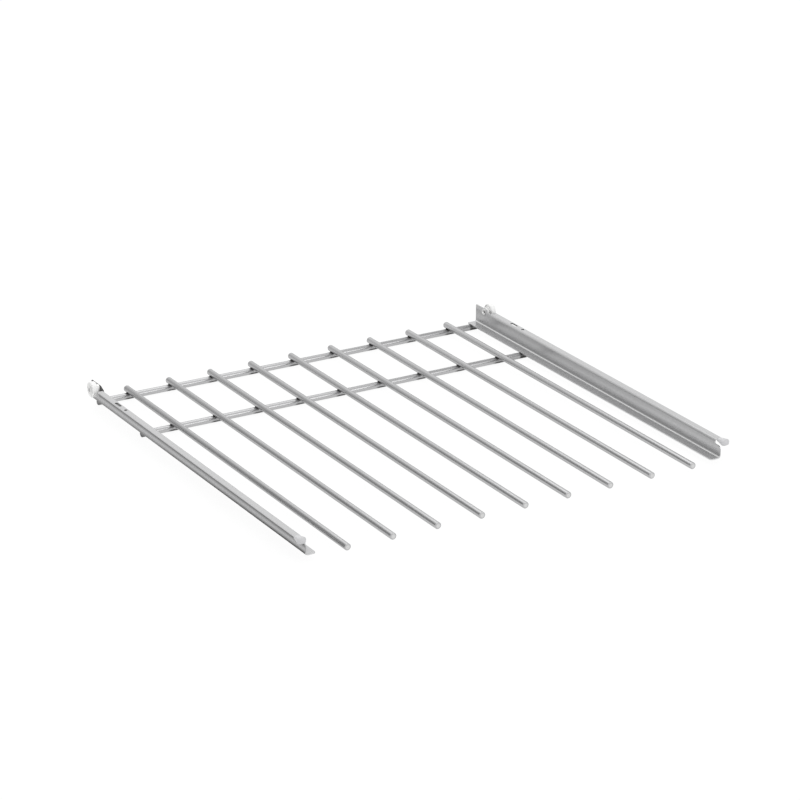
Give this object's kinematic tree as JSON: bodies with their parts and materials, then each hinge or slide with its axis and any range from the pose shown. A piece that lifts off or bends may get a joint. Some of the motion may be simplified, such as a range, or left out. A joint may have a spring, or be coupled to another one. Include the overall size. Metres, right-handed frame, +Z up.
{
  "type": "trouser rack",
  "caption": "Pull-out trouser rack: free-ended steel rods welded on two cross bars between folded sheet runners with rear rollers and front buffers.",
  "frame": {"origin": "under the middle of the rods, on the plane that the two cross bars stand on", "axes": "+X across the rack to its right-hand runner, +Y from the free rod ends at the front to the rollers at the back, +Z up"},
  "size_m": [0.5036, 0.48, 0.0326],
  "materials": {
    "coated_steel": "smooth silver-grey metallic coat",
    "plated_steel": "bright zinc plating",
    "white_nylon": "moulded, slightly translucent white",
    "pale_plastic": "moulded pale grey, satin"
  },
  "bodies": {
    "rack": {"rod_1": "coated_steel", "rod_2": "coated_steel", "rod_3": "coated_steel", "rod_4": "coated_steel", "rod_5": "coated_steel", "rod_6": "coated_steel", "rod_7": "coated_steel", "rod_8": "coated_steel", "rod_9": "coated_steel", "rear_cross_bar": "coated_steel", "front_cross_bar": "coated_steel", "left_runner": "coated_steel", "right_runner": "coated_steel", "left_roller_bush": "plated_steel", "left_roller_rivet": "plated_steel", "left_buffer": "pale_plastic", "right_roller_bush": "plated_steel", "right_roller_rivet": "plated_steel", "right_buffer": "pale_plastic"},
    "left_roller": {"left_roller": "white_nylon"},
    "right_roller": {"right_roller": "white_nylon"}
  },
  "joints": [
    {"name": "left_roller_spin", "type": "hinge", "parent": "rack", "child": "left_roller", "pos_m": [-0.2477, 0.222, 0.0241], "axis": [1, 0, 0], "continuous": true},
    {"name": "right_roller_spin", "type": "hinge", "parent": "rack", "child": "right_roller", "pos_m": [0.2477, 0.222, 0.0241], "axis": [1, 0, 0], "continuous": true}
  ]
}
